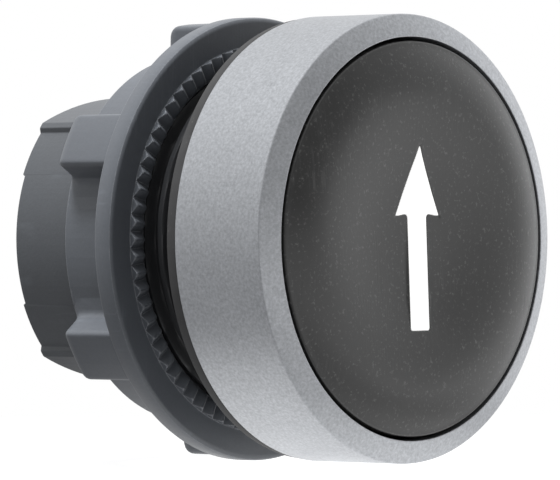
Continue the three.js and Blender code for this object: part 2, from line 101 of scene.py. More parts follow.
BODY_FRONT, REAR_RIM = 10.8, 16.8
BODY_FRONT_EDGE = ((0.12, 0.0), (0.04, 0.04), (0.0, 0.14))              # (inset, distance from the end)
BODY_REAR_EDGE = ((0.0, 0.12), (0.02, 0.05), (0.05, 0.02), (0.12, 0.0))
RIM_INNER_R = 8.92
RIM_NOTCH_DEPTH, RIM_NOTCH_SIDE_DEGREES = 0.2, (22.6, 22.9, 23.2)       # start, middle and end of its side

NUT_FACE, NUT_NECK_R, NUT_BORE_R = 4.7, 12.15, 11.35
CROWN_TEETH, CROWN_INNER_R, CROWN_OUTER_R, CROWN_HEIGHT = 72, 11.5, 12.7, 0.55
TOOTH_TIP_HALF = 0.14           # half of a tooth's rounded tip, as a share of the pitch
TOOTH_PHASES = (0, 0.05, 0.1, TOOTH_TIP_HALF, 0.5, 1 - TOOTH_TIP_HALF, 0.9, 0.95)
# (radius, share of the full height) along a tooth
TOOTH_LENGTH = ((11.56, 0.45), (11.66, 0.72), (11.82, 0.92), (12.05, 1), (12.62, 1), (CROWN_OUTER_R, 0.88))
FLANGE_EDGE = (
    (12.76, 4.7), (14.2, 4.7), (14.28, 4.7), (14.42, 4.73), (14.53, 4.81), (14.6, 4.98),
    (14.6, 5.93), (14.54, 6.055), (14.42, 6.1), (14.38, 6.1),
)
GRIP_FILLET = ((0.38, 6.1), (0.3, 6.1), (0.12, 6.16), (0.03, 6.25), (0.0, 6.4))  # (growth, y)
LOBES, LOBE_R, LOBE_HALF, LOBE_REAR, LOBE_CORNER_R = 6, 14.3, 1.87, 10.85, 1.0
LOBE_TAPER = 0.6                # how much a flank moves in for each unit that the top does
LOBE_TOP_CORNER, LOBE_FILLET, LOBE_FOOT_CORNER = 0.42, 0.62, 0.3
LOBE_FOOT_REACH = 1.15          # from a flank out to the foot of its fillet
LOBE_INNERMOST = 1.2            # the mesh's columns also follow the lobes' outline with this inset
NUT_REAR_EDGE = ((NUT_NECK_R, LOBE_REAR), (NUT_NECK_R, 10.9), (12.12, 10.97), (12.05, 11.0))
NUT_BORE_EDGE = ((11.45, 11.0), (NUT_BORE_R, 10.9))

SPRING_R, SPRING_WIRE_R, SPRING_COILS, SPRING_END_PITCH = 6.2, 0.4, 6, 0.88
SPRING_FRONT, SPRING_REAR, SPRING_END_GAP = -6.2, 6.0, 0.05

BEZEL_SIDES, CAP_SIDES, GASKET_SIDES, HOUSING_SIDES = 288, 256, 240, 200
LOBE_CORNER_STEPS = 8
SPRING_STEPS, SPRING_SIDES = 48, 12  # per turn, and round the wire

# ---------------------------------------------------------------- studio

CAMERA_PLACE, CAMERA_LOOK, CAMERA_ROLL_DEGREES = (-268.5, -232.6, 1.0), (0.7516, 0.6596, -0.003), -0.2
CAMERA_LENS, CAMERA_SENSOR = 349.4, 36
# the surround's glows: direction, how tight it is, and strength
GLOWS = (
    ((1.0, 0.05, 0.08), 3.0, 1.35),
    ((0.1, 0.0, 1.0), 2.0, 0.75),
    ((-0.3, 0.75, 0.6), 1.5, 0.98),
    ((-0.7, -0.7, 0.2), 3.0, 0.36),
)
AMBIENT = 0.08
WHITE = (1, 1, 1, 1)
FLOOR_HALF_M = 4.0
LAMP_TARGET_M = (0, 0.004, 0)

# ---------------------------------------------------------------- mesh helpers


def finish_mesh(name, bm, body, nodes, material, sharp=32):
    """Turns a bmesh in millimetres into a smooth-shaded piece that stands for CAD nodes."""
    bmesh.ops.remove_doubles(bm, verts=bm.verts, dist=1e-4)
    bmesh.ops.recalc_face_normals(bm, faces=bm.faces)
    bmesh.ops.scale(bm, vec=(MM, MM, MM), verts=bm.verts)
    mesh = bpy.data.meshes.new(name)
    bm.to_mesh(mesh)
    bm.free()
    mesh.materials.append(material)
    mesh.shade_smooth()
    mesh.set_sharp_from_angle(angle=math.radians(sharp))
    piece = bpy.data.objects.new(name, mesh)
    bpy.context.scene.collection.objects.link(piece)
    piece.modifiers.new("face weights", "WEIGHTED_NORMAL").keep_sharp = True
    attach(piece, body)
    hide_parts(*nodes)
    return piece


def rounded(points, radii, steps=4, closed=True):
    """A polyline with its corners rounded. radii has one radius for each point, 0 for a sharp one."""
    count = len(points)
    result = []
    for i, (corner, radius) in enumerate(zip(points, radii)):
        if radius == 0 or (not closed and i in (0, count - 1)):
            result.append(tuple(corner))
            continue
        at = Vector(corner)
        back = (Vector(points[i - 1]) - at).normalized()
        ahead = (Vector(points[(i + 1) % count]) - at).normalized()
        half = back.angle(ahead) / 2
        reach = radius / math.tan(half)
        start, end = at + back * reach, at + ahead * reach
        for k in range(steps + 1):
            t = k / steps
            result.append(tuple(start * (1 - t) ** 2 + at * 2 * t * (1 - t) + end * t**2))
    return result


def polar(bm, rings, angles, closed=True):
    """Skins rings round the Y axis. Each ring is a function from an angle to (radius, y)."""
    rows = []
    for ring in rings:
        row = []
        for angle in angles:
            r, y = ring(angle)
            x, z = on_circle(r, angle)
            row.append(bm.verts.new((x, y, z)))
        rows.append(row)
    pairs = list(zip(rows, rows[1:]))
    if closed:
        pairs.append((rows[-1], rows[0]))
    for low, high in pairs:
        for i in range(len(angles)):
            j = (i + 1) % len(angles)
            bm.faces.new((low[i], low[j], high[j], high[i]))


def fixed(r, y):
    """A ring that is the same all the way round."""
    return lambda angle: (r, y)


def fixed_rings(profile):
    """Rings through the (radius, y) points of a turned shape's outline."""
    return [fixed(r, y) for r, y in profile]


def shaped(radius, y, inset=0.0):
    """A ring whose radius is a function of the angle, less an inset."""
    return lambda angle: (radius(angle) - inset, y)


def even_angles(count):
    """Evenly spaced angles all the way round."""
    return [TAU * i / count for i in range(count)]


def on_circle(radius, angle):
    """The (x, z) point at a radius and angle."""
    return radius * math.sin(angle), radius * math.cos(angle)


def radius_of(outline):
    """A function from an angle to the radius of a closed outline of (x, z) points round the axis."""
    spans = list(zip(outline, outline[1:] + outline[:1]))

    def radius(angle):
        ux, uz = math.sin(angle), math.cos(angle)
        best = 0
        for (x0, z0), (x1, z1) in spans:
            dx, dz = x1 - x0, z1 - z0
            across = ux * dz - uz * dx
            if abs(across) < 1e-12:
                continue
            far = (x0 * dz - z0 * dx) / across
            along = (x0 * uz - z0 * ux) / across
            if far > best and -1e-9 <= along <= 1 + 1e-9:
                best = far
        return best

    return radius


def angles_of(outline):
    """The angles of an outline's (x, z) points."""
    return [math.atan2(x, z) % TAU for x, z in outline]


def merged(*groups):
    """Groups of angles in one sorted list without repeats."""
    return sorted(set(round(a % TAU, 6) for group in groups for a in group))


def bevelled_box(bm, low, high, width):
    """A box between two corners with rounded edges."""
    made = bmesh.ops.create_cube(bm, size=1)["verts"]
    for v in made:
        v.co = [(l + h) / 2 + c * (h - l) for l, h, c in zip(low, high, v.co)]
    edges = {e for v in made for e in v.link_edges}
    bmesh.ops.bevel(bm, geom=list(edges), offset=width, segments=3, affect="EDGES", profile=0.5)


# ---------------------------------------------------------------- material helpers


class Nodes:
    """A node tree whose helpers take a constant or a socket for each input."""

    def __init__(self, holder):
        holder.use_nodes = True
        self.tree = holder.node_tree
        self.tree.nodes.clear()

    def node(self, kind, settings=None, **inputs):
        """A node. An input is given by its name, with _ for a space, or by _ and its number."""
        made = self.tree.nodes.new(kind)
        for key, value in (settings or {}).items():
            setattr(made, key, value)
        for key, value in inputs.items():
            index = key.lstrip("_").replace("_", " ")
            socket = made.inputs[int(index)] if index.isdigit() else made.inputs[index]
            if isinstance(value, bpy.types.NodeSocket):
                self.tree.links.new(value, socket)
            else:
                socket.default_value = value
        return made

    def calc(self, operation, a, b):
        """One step of arithmetic on two numbers."""
        return self.node("ShaderNodeMath", {"operation": operation}, _0=a, _1=b).outputs["Value"]

    def dot(self, a, b):
        """The dot product of two vectors."""
        return self.node("ShaderNodeVectorMath", {"operation": "DOT_PRODUCT"}, _0=a, _1=b).outputs["Value"]


class Surface(Nodes):
    """A material's nodes, with patterns in the object's own coordinates."""

    def __init__(self, name):
        self.material = bpy.data.materials.new(name)
        super().__init__(self.material)
        self.coords = self.node("ShaderNodeTexCoord").outputs["Object"]

    def stretched(self, scale, turn=(0, 0, 0)):
        """The object's coordinates, scaled and turned."""
        return self.node(
            "ShaderNodeMapping", Vector=self.coords, Scale=scale, Rotation=[math.radians(a) for a in turn]
        ).outputs["Vector"]

    def noise(self, scale, detail=4, rough=0.55, distort=0.0, coords=None):
        """Noise with a scale in cycles per metre."""
        made = self.node(
            "ShaderNodeTexNoise",
            Vector=coords or self.coords, Scale=scale, Detail=detail, Roughness=rough, Distortion=distort,
        )
        return made.outputs["Fac"]

    def ramp(self, value, *stops):
        """value through stops of (place, grey)."""
        made = self.node("ShaderNodeValToRGB", Fac=value)
        elements = made.color_ramp.elements
        while len(elements) < len(stops):
            elements.new(0.5)
        for element, (place, grey) in zip(elements, stops):
            element.position = place
            element.color = (grey, grey, grey, 1)
        return made.outputs["Color"]

    def remap(self, value, low, high, to_low, to_high):
        """value carried from the range low to high to the range to_low to to_high, and held there."""
        made = self.node(
            "ShaderNodeMapRange", Value=value, From_Min=low, From_Max=high, To_Min=to_low, To_Max=to_high
        )
        return made.outputs["Result"]

    def mix(self, factor, a, b):
        """Colour a where factor is 0 and b where it is 1."""
        made = self.node("ShaderNodeMix", {"data_type": "RGBA"}, _0=factor)
        for index, value in ((6, a), (7, b)):
            if isinstance(value, bpy.types.NodeSocket):
                self.tree.links.new(value, made.inputs[index])
            else:
                made.inputs[index].default_value = (*value, 1)
        return made.outputs[2]

    def edges(self, radius, low, high):
        """A mask that is 1 on convex and concave edges sharper than a radius in millimetres."""
        soft = self.node("ShaderNodeBevel", {"samples": 4}, Radius=radius * MM).outputs["Normal"]
        flat = self.node("ShaderNodeNewGeometry").outputs["Normal"]
        return self.remap(self.dot(soft, flat), 1 - low, 1 - high, 0.0, 1.0)

    def bump(self, height, depth, below=None):
        """A bump whose depth is in millimetres, on top of the one below."""
        made = self.node("ShaderNodeBump", Height=height, Strength=1.0, Distance=depth * MM)
        if below:
            self.tree.links.new(below, made.inputs["Normal"])
        return made.outputs["Normal"]

    def scratches(self, scale, turn, thin=0.035):
        """Fine straight scratches that come and go: 1 in a scratch and 0 elsewhere."""
        lines = self.stretched((1, 0.04, 0.04), turn)
        wave = self.noise(scale, 2, 0.5, 0.0, lines)
        line = self.ramp(wave, (0.5 - thin, 0), (0.5, 1), (0.5 + thin, 0))
        patch = self.ramp(self.noise(scale * 0.12, 3, 0.6, 0.4), (0.52, 0), (0.66, 1))
        return self.calc("MULTIPLY", line, patch)

    def done(self, **inputs):
        """The finished material, with one principled shader."""
        shader = self.node("ShaderNodeBsdfPrincipled", **inputs)
        self.node("ShaderNodeOutputMaterial", Surface=shader.outputs["BSDF"])
        return self.material


# ---------------------------------------------------------------- materials


def metallised_silver():
    s = Surface("bezel_silver")
    cloud = s.noise(260, 3, 0.5)
    grain = s.noise(9000, 3, 0.6)
    patchy = s.remap(s.noise(900, 4, 0.7), 0.4, 0.7, 0.2, 1.0)
    pale_edges = s.calc("MULTIPLY", s.edges(0.12, 0.02, 0.16), patchy)
    tone = s.mix(cloud, (0.42, 0.432, 0.452), (0.475, 0.487, 0.507))
    sparkle = s.noise(5200, 3, 0.7)
    tone = s.mix(s.remap(sparkle, 0.5, 0.7, 0.0, 0.42), tone, (0.66, 0.68, 0.71))
    tone = s.mix(s.remap(sparkle, 0.5, 0.32, 0.0, 0.4), tone, (0.26, 0.267, 0.28))
    tone = s.mix(pale_edges, tone, (0.64, 0.65, 0.67))
    scratch = s.scratches(3800, (14, 40, 65))
    rough = s.calc("ADD", s.remap(cloud, 0.3, 0.7, 0.42, 0.48), s.calc("MULTIPLY", scratch, 0.14))
    normal = s.bump(grain, 0.007)
    normal = s.bump(scratch, -0.003, normal)
    return s.done(Base_Color=tone, Metallic=0.86, Roughness=rough, Normal=normal)


def cap_black():
    s = Surface("cap_black")
    cloud = s.noise(240, 4, 0.6)
    grain = s.noise(7000, 3, 0.6)
    tone = s.mix(cloud, (0.017, 0.017, 0.0165), (0.023, 0.023, 0.0222))
    long_scratch = s.scratches(3000, (0, 62, 20), 0.03)
    cross_scratch = s.scratches(4200, (0, -28, -35), 0.025)
    scratch = s.calc("MAXIMUM", long_scratch, cross_scratch)
    dust = s.ramp(s.noise(4600, 3, 0.6), (0.58, 0), (0.70, 1))
    marks = s.calc("MAXIMUM", s.calc("MULTIPLY", scratch, 0.06), s.calc("MULTIPLY", dust, 0.22))
    rim = s.edges(0.15, 0.02, 0.2)
    tone = s.mix(marks, tone, (0.30, 0.30, 0.29))
    tone = s.mix(s.calc("MULTIPLY", rim, 0.22), tone, (0.20, 0.20, 0.195))
    rough = s.calc("ADD", s.remap(cloud, 0.3, 0.7, 0.30, 0.37), s.calc("MULTIPLY", scratch, 0.2))
    normal = s.bump(grain, 0.0035)
    normal = s.bump(scratch, -0.003, normal)
    return s.done(Base_Color=tone, Roughness=rough, Normal=normal, IOR=1.62)


def arrow_white():
    s = Surface("arrow_white")
    cloud = s.noise(500, 4, 0.6)
    tone = s.mix(cloud, (0.90, 0.90, 0.885), (0.95, 0.95, 0.94))
    soil = s.ramp(s.noise(2600, 4, 0.65), (0.68, 0), (0.80, 1))
    tone = s.mix(s.calc("MULTIPLY", soil, 0.10), tone, (0.62, 0.61, 0.58))
    rough = s.remap(cloud, 0.3, 0.7, 0.36, 0.46)
    normal = s.bump(s.noise(6500, 3, 0.6), 0.003)
    # The emission is a painted glow: it makes the white inlay brighter than the lamps light it.
    return s.done(
        Base_Color=tone, Roughness=rough, Normal=normal, Emission_Color=tone, Emission_Strength=0.5
    )


def moulded(name, dark, light, rough, grain_depth, edge_tone, edge_amount, painted_shade_to=None):
    """Injection-moulded plastic: slow tone change, spark-eroded grain, pale edges and a few scuffs. The pale
    edges are wear, and with a bright edge tone, as on the nut, also a painted highlight.
    Ahead of a given distance along Y, in millimetres, it is darkened to near black as painted shade, the
    shadow on the housing's neck between the gasket and the nut."""
    s = Surface(name)
    cloud = s.noise(210, 4, 0.55)
    grain = s.noise(5200, 4, 0.65)
    tone = s.mix(cloud, dark, light)
    tone = s.mix(s.remap(grain, 0.35, 0.75, 0.0, 0.18), tone, [c * 1.5 for c in light])
    scratch = s.scratches(2600, (35, 15, 50))
    tone = s.mix(s.calc("MULTIPLY", scratch, 0.12), tone, [min(1, c * 3.2) for c in light])
    # Pale edges: wear, which with a bright edge_tone, as on the nut, is also a painted highlight.
    patchy = s.remap(s.noise(1300, 4, 0.7), 0.35, 0.65, 0.25, 1.0)
    pale_edges = s.calc("MULTIPLY", s.edges(0.14, 0.03, 0.22), patchy)
    tone = s.mix(s.calc("MULTIPLY", pale_edges, edge_amount), tone, edge_tone)
    # painted shade: near-black tone ahead of the given Y, where the nut's flange and the bezel shade the
    # threaded neck
    if painted_shade_to is not None:
        along = s.node("ShaderNodeSeparateXYZ", _0=s.coords).outputs["Y"]
        painted_shade = s.remap(along, (painted_shade_to - 1) * MM, painted_shade_to * MM, 0.85, 0.0)
        tone = s.mix(painted_shade, tone, (0.008, 0.008, 0.0085))
    uneven = s.remap(cloud, 0.3, 0.7, rough - 0.04, rough + 0.05)
    roughness = s.calc("ADD", uneven, s.calc("MULTIPLY", scratch, 0.1))
    return s.done(Base_Color=tone, Roughness=roughness, Normal=s.bump(grain, grain_depth))


def rubber(name, dark, light):
    s = Surface(name)
    bloom = s.noise(420, 5, 0.65)
    grain = s.noise(8200, 3, 0.6)
    tone = s.mix(s.remap(bloom, 0.35, 0.7, 0.0, 1.0), dark, light)
    dust = s.ramp(s.noise(6200, 2, 0.5), (0.66, 0), (0.76, 1))
    tone = s.mix(s.calc("MULTIPLY", dust, 0.25), tone, (0.16, 0.15, 0.14))
    rough = s.remap(bloom, 0.3, 0.7, 0.62, 0.78)
    return s.done(Base_Color=tone, Roughness=rough, Normal=s.bump(grain, 0.006))


def spring_steel():
    s = Surface("spring_steel")
    cloud = s.noise(700, 4, 0.6)
    drawn = s.noise(9000, 2, 0.5, 0.0, s.stretched((0.1, 1, 0.1)))
    tone = s.mix(cloud, (0.50, 0.49, 0.47), (0.64, 0.64, 0.63))
    rough = s.remap(drawn, 0.3, 0.7, 0.24, 0.40)
    return s.done(Base_Color=tone, Metallic=1.0, Roughness=rough, Normal=s.bump(drawn, 0.003))


# ---------------------------------------------------------------- bezel and cap


def make_bezel(material):
    bm = bmesh.new()
    profile = [
        (BEZEL_BORE_R, BEZEL_LIP), (BEZEL_R, BEZEL_SHOULDER), (BEZEL_R, BEZEL_REAR),
        (BEZEL_SEAT_R, BEZEL_REAR), (BEZEL_SEAT_R, BEZEL_SEAT), (BEZEL_BORE_R, BEZEL_SEAT),
    ]
    corner_radii = [0.07, 0.16, 0.12, 0.04, 0.02, 0.04]
    polar(bm, fixed_rings(rounded(profile, corner_radii, 5)), even_angles(BEZEL_SIDES))
    finish_mesh("bezel", bm, "head", ["bezel_ring"], material)


def cap_face(r):
    """Y of the cap's face at a radius: a dish with a rounded crest, which falls away to the edge."""
    if r <= CAP_CREST_R:
        return CAP_CENTRE - CAP_CREST_RISE * math.sin(math.pi / 2 * (r / CAP_CREST_R) ** 1.5) ** 2
    beyond = (r - CAP_CREST_R) / (CAP_R - CAP_CREST_R)
    return CAP_CENTRE - CAP_CREST_RISE + CAP_OUTER_FALL * beyond**2


def arrow_outline(margin):
    """The arrow's outline as (x, z) points, grown by a margin."""
    shaft, barb, foot = ARROW_SHAFT_HALF + margin, ARROW_BARB_HALF + margin * 1.5, ARROW_FOOT - margin
    under, tip = ARROW_UNDER - margin, (0, ARROW_TIP + margin * 2)
    corners = [(shaft, foot), (shaft, under), (barb - 0.3, under - 0.15), (barb, under - 0.15), tip]
    right = rounded(corners, [0, 0.32, 0, 0.05, 0], 6, closed=False)
    half = [(shaft - 0.12, foot), (shaft, foot + 0.12)] + right[1:-1]
    x, z = half[-1]
    half += [(x + (tip[0] - x) * t, z + (tip[1] - z) * t) for t in (0.3, 0.6, 0.85)]
    half.append((0.05 + margin * 0.4, tip[1] - 0.06))
    return half + [tip] + [(-x, z) for x, z in reversed(half)]


def inside(outline, x, z):
    """True if a point is inside an outline."""
    odd = False
    for (x0, z0), (x1, z1) in zip(outline, outline[1:] + outline[:1]):
        if (z0 > z) != (z1 > z) and x < (x1 - x0) * (z - z0) / (z1 - z0) + x0:
            odd = not odd
    return odd


def distance_to(outline, x, z):
    """Distance from a point to an outline."""
    best = 1e9
    for (x0, z0), (x1, z1) in zip(outline, outline[1:] + outline[:1]):
        dx, dz = x1 - x0, z1 - z0
        t = max(0, min(1, ((x - x0) * dx + (z - z0) * dz) / (dx * dx + dz * dz)))
        best = min(best, math.hypot(x - x0 - dx * t, z - z0 - dz * t))
    return best


def skin_face(loops, drops, keep):
    """A bmesh of the dished face over the area where keep is true. Each loop is an outline that its
    edges follow, and drops has how far each loop's points lie below the face. The last two loops
    follow the arrow."""
    points, edges, low = [], [], []
    for loop, depth in zip(loops, drops):
        first = len(points)
        points += loop
        low += [depth] * len(loop)
        edges += [(first + i, first + (i + 1) % len(loop)) for i in range(len(loop))]
    face_r = max(math.hypot(x, z) for x, z in loops[0])
    rings = int(face_r / FACE_SPACING)
    for i in range(rings):
        r = face_r * i / rings
        count = max(1, int(TAU * r / FACE_SPACING))
        for k in range(count):
            x, z = on_circle(r, TAU * k / count)
            by_arrow = abs(x) < 3 and abs(z) < 7
            crowded = by_arrow and min(distance_to(l, x, z) for l in loops[-2:]) < FACE_SPACING * 0.35
            if keep(x, z) and not crowded:
                points.append((x, z))
                low.append(0)
    verts, _, faces, origins, _, _ = delaunay_2d_cdt([Vector(p) for p in points], edges, [], 0, 1e-6)
    bm = bmesh.new()
    made = []
    for (x, z), origin in zip(verts, origins):
        depth = max((low[k] for k in origin), default=0)
        made.append(bm.verts.new((x, cap_face(math.hypot(x, z)) + depth, z)))
    for face in faces:
        x = sum(verts[k][0] for k in face) / len(face)
        z = sum(verts[k][1] for k in face) / len(face)
        if keep(x, z):
            bm.faces.new([made[k] for k in face])
    loose = [v for v in bm.verts if not v.link_faces]
    bmesh.ops.delete(bm, geom=loose, context="VERTS")
    return bm


def drop_wall(bm, outline, depth):
    """Carries the open edges that lie on an outline down along +Y."""
    rim = [
        e for e in bm.edges
        if e.is_boundary and all(distance_to(outline, v.co.x, v.co.z) < 1e-3 for v in e.verts)
    ]
    made = bmesh.ops.extrude_edge_only(bm, edges=rim)["geom"]
    for v in made:
        if isinstance(v, bmesh.types.BMVert):
            v.co.y += depth


def make_cap(material):
    face_r = CAP_R - CAP_EDGE
    angles = even_angles(CAP_SIDES)
    rim = [on_circle(face_r, a) for a in angles]
    pocket, lip = arrow_outline(0.03), arrow_outline(0.06)
    bm = skin_face([rim, pocket, lip], [0, ARROW_SINK, 0], lambda x, z: not inside(pocket, x, z))
    drop_wall(bm, pocket, POCKET_DEPTH)
    end = cap_face(face_r)
    profile = []
    for k in range(6):
        turn = math.radians(18 * k)
        profile.append((face_r + CAP_EDGE * math.sin(turn), end + CAP_EDGE * (1 - math.cos(turn))))
    profile += [
        (CAP_R, CAP_REAR - 0.05), (CAP_R - 0.05, CAP_REAR), (CAP_SKIRT_R, CAP_REAR),
        (CAP_SKIRT_R, CAP_UNDERSIDE), (0.01, CAP_UNDERSIDE),
    ]
    polar(bm, fixed_rings(profile), angles, closed=False)
    finish_mesh("cap", bm, "button", ["button_cap"], material)


def make_arrow(material):
    edge, flat = arrow_outline(0.0), arrow_outline(-0.05)
    bm = skin_face([edge, flat], [ARROW_SINK, 0], lambda x, z: inside(edge, x, z))
    drop_wall(bm, edge, ARROW_DEPTH)
    finish_mesh("arrow", bm, "button", ["arrow_inlay"], material)


# ---------------------------------------------------------------- gasket and housing


def make_gasket(material):
    bm = bmesh.new()
    keyway = math.asin(KEYWAY_HALF / KEYWAY_TOP)

    def bore_radius(angle):
        away = min(angle % TAU, TAU - angle % TAU)
        return KEYWAY_TOP / math.cos(away) if away < keyway else GASKET_BORE_R

    angles = sorted(even_angles(GASKET_SIDES) + [keyway, keyway + 1e-3, TAU - keyway, TAU - keyway - 1e-3])
    rings = fixed_rings(GASKET_EDGE) + [shaped(bore_radius, 0.0), shaped(bore_radius, GASKET_FRONT)]
    polar(bm, rings, angles)
    finish_mesh("gasket", bm, "head", ["panel_gasket"], material)


def thread_radius(angle, y):
    """Radius of the neck's right-handed thread, which fades out at both ends."""
    offset = (y - THREAD_FRONT) / THREAD_PITCH - angle / TAU
    turn = round(offset)
    across = abs(offset - turn) * THREAD_PITCH
    along = THREAD_FRONT + (turn + angle / TAU) * THREAD_PITCH
    size = max(0, min(1, (along - THREAD_FRONT) / THREAD_FADE, (THREAD_REAR - along) / THREAD_FADE))
    if size <= 0:
        return THREAD_ROOT_R
    crest, foot = THREAD_CREST_HALF * size, THREAD_FOOT_HALF * size
    rise = max(0, min(1, (foot - across) / (foot - crest)))
    return THREAD_ROOT_R + (THREAD_CREST_R - THREAD_ROOT_R) * size * (3 * rise**2 - 2 * rise**3)


def rear_outline():
    """The rear body's outline: a circle whose top and bottom are cut to shallow pads with ears."""
    pad_z = PAD_TOP - PAD_R

    def on_pad(x):
        return x, pad_z + math.sqrt(PAD_R**2 - x**2)

    pad = [on_pad(-PAD_HALF + 2 * PAD_HALF * k / 24) for k in range(1, 24)]
    foot = math.asin(BODY_SIDE_TOP / BODY_R)
    turns = [foot * (1 - 2 * k / 40) for k in range(41)]
    side = [(BODY_R * math.cos(a), BODY_R * math.sin(a)) for a in turns]
    ear = rounded([pad[-1], on_pad(PAD_HALF), EAR, side[0], side[1]], [0, 0.22, 0.15, 0.12, 0], closed=False)
    upper = ear[1:-1] + side[1:-1]
    lower = [(x, -z) for x, z in reversed(ear[1:-1])]
    bottom = [(x, -z) for x, z in reversed(pad)]
    left = [(-x, z) for x, z in reversed(upper + lower)]
    return pad + upper + lower + bottom + left


def make_housing(material):
    bm = bmesh.new()
    body_radius = radius_of(rear_outline())
    start, middle, end = (math.radians(degrees) for degrees in RIM_NOTCH_SIDE_DEGREES)
    notches = [at + turn for at in (TAU / 4, TAU * 3 / 4) for turn in (-end, -start, start, end)]
    angles = merged(even_angles(HOUSING_SIDES), angles_of(rear_outline()), notches)

    def rim_y(angle):
        from_side = abs(abs(math.remainder(angle, TAU)) - TAU / 4)
        return REAR_RIM - (RIM_NOTCH_DEPTH if from_side < middle else 0.0)

    def rim(inset, ahead):
        return lambda angle: (body_radius(angle) - inset, rim_y(angle) - ahead)

    rings = fixed_rings(HOUSING_FRONT)
    for k in range(1, NECK_RINGS):
        y = NECK_FRONT + (NECK_REAR - NECK_FRONT) * k / NECK_RINGS
        rings.append(lambda a, y=y: (thread_radius(a, y), y))
    rings.append(fixed(THREAD_ROOT_R, BODY_FRONT))
    rings += [shaped(body_radius, BODY_FRONT + behind, inset) for inset, behind in BODY_FRONT_EDGE]
    rings += [rim(inset, ahead) for inset, ahead in BODY_REAR_EDGE]
    rings.append(lambda a: (RIM_INNER_R, rim_y(a)))
    rings += fixed_rings(HOUSING_BORE)
    polar(bm, rings, angles)
    bevelled_box(bm, KEY_LOW, KEY_HIGH, KEY_EDGE)
    finish_mesh("housing", bm, "head", ["body_housing"], material)


# ---------------------------------------------------------------- fixing nut


def lobe_outline(inset):
    """The grip's outline: the neck's circle with lobes that stand on fillets. The lobes shrink by
    inset, as they do towards their rounded rear ends, and stand behind valleys of the crown."""
    top, half = LOBE_R - inset, LOBE_HALF - LOBE_TAPER * inset
    tall = (top - NUT_NECK_R) / (LOBE_R - NUT_NECK_R)
    right = [(half * k / 4, math.sqrt(top**2 - (half * k / 4) ** 2)) for k in range(4)]
    shoulder = (half, math.sqrt(top**2 - half**2))
    bend = (half + 0.12, NUT_NECK_R + 0.1)
    foot_angle = math.asin((half + LOBE_FOOT_REACH) / NUT_NECK_R)
    foot, beyond = on_circle(NUT_NECK_R, foot_angle), on_circle(NUT_NECK_R, foot_angle + 0.05)
    corners = [right[-1], shoulder, bend, foot, beyond]
    radii = [0, LOBE_TOP_CORNER * tall, LOBE_FILLET * tall, LOBE_FOOT_CORNER, 0]
    right += rounded(corners, radii, 6, closed=False)[1:-1]
    right += [on_circle(NUT_NECK_R, math.radians(degrees)) for degrees in (18, 21, 24, 27, 30)]
    sector = [(-x, z) for x, z in reversed(right[1:-1])] + right
    outline = []
    for k in range(LOBES):
        turn = TAU * k / LOBES - TAU / CROWN_TEETH / 2
        c, s = math.cos(turn), math.sin(turn)
        outline += [(x * c + z * s, z * c - x * s) for x, z in sector]
    return outline


def make_nut(material):
    bm = bmesh.new()
    grip = radius_of(lobe_outline(0))
    tooth_angles = [TAU * (k + phase) / CROWN_TEETH for k in range(CROWN_TEETH) for phase in TOOTH_PHASES]
    angles = merged(angles_of(lobe_outline(0)), angles_of(lobe_outline(LOBE_INNERMOST)), tooth_angles)

    def crown(r, size):
        """A ring through the teeth, with their height as a share of the full one."""
        def ring(angle):
            phase = (angle / TAU * CROWN_TEETH) % 1
            away = min(phase, 1 - phase)
            height = 1 - 2 * away
            if away <= TOOTH_TIP_HALF:
                height = 1 - TOOTH_TIP_HALF - away**2 / TOOTH_TIP_HALF
            return r, NUT_FACE - CROWN_HEIGHT * height * size
        return ring

    def grip_within(limit, y, growth=0.0):
        return lambda angle: (min(grip(angle) + growth, limit), y)

    rings = [fixed(NUT_BORE_R, NUT_FACE + 0.1), fixed(NUT_BORE_R + 0.1, NUT_FACE)]
    rings.append(fixed(CROWN_INNER_R, NUT_FACE))
    rings += [crown(r, size) for r, size in TOOTH_LENGTH]
    rings.append(fixed(CROWN_OUTER_R, NUT_FACE))
    rings += fixed_rings(FLANGE_EDGE)
    rings += [grip_within(LOBE_R + growth * 0.1, y, growth) for growth, y in GRIP_FILLET]
    for k in range(LOBE_CORNER_STEPS + 1):
        turn = TAU / 4 * k / LOBE_CORNER_STEPS
        inset, ahead = LOBE_CORNER_R * (1 - math.cos(turn)), LOBE_CORNER_R * (1 - math.sin(turn))
        rings.append(shaped(radius_of(lobe_outline(inset)), LOBE_REAR - ahead))
    rings += [grip_within(r, y) for r, y in NUT_REAR_EDGE] + fixed_rings(NUT_BORE_EDGE)
    polar(bm, rings, angles)
    finish_mesh("nut", bm, "nut", ["fixing_nut"], material, 28)


# ---------------------------------------------------------------- spring and the parts inside


def make_spring(material):
    bm = bmesh.new()
    inset = SPRING_WIRE_R + SPRING_END_GAP
    front, rear = SPRING_FRONT + inset, SPRING_REAR - inset
    open_pitch = (rear - front - 2 * SPRING_END_PITCH) / SPRING_COILS
    rows = []
    for k in range((SPRING_COILS + 2) * SPRING_STEPS + 1):
        turn = k / SPRING_STEPS
        opened = min(max(turn - 1, 0), SPRING_COILS)
        y = front + (turn - opened) * SPRING_END_PITCH + opened * open_pitch
        angle = turn * TAU
        row = []
        for swing in even_angles(SPRING_SIDES):
            r = SPRING_R + SPRING_WIRE_R * math.cos(swing)
            at = (r * math.cos(angle), y + SPRING_WIRE_R * math.sin(swing), r * math.sin(angle))
            row.append(bm.verts.new(at))
        rows.append(row)
    for low, high in zip(rows, rows[1:]):
        for n in range(SPRING_SIDES):
            m = (n + 1) % SPRING_SIDES
            bm.faces.new((low[n], low[m], high[m], high[n]))
    bm.faces.new(rows[0])
    bm.faces.new(list(reversed(rows[-1])))
    spring = finish_mesh("spring", bm, "head", ["return_spring"], material, 40)
    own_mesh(spring)


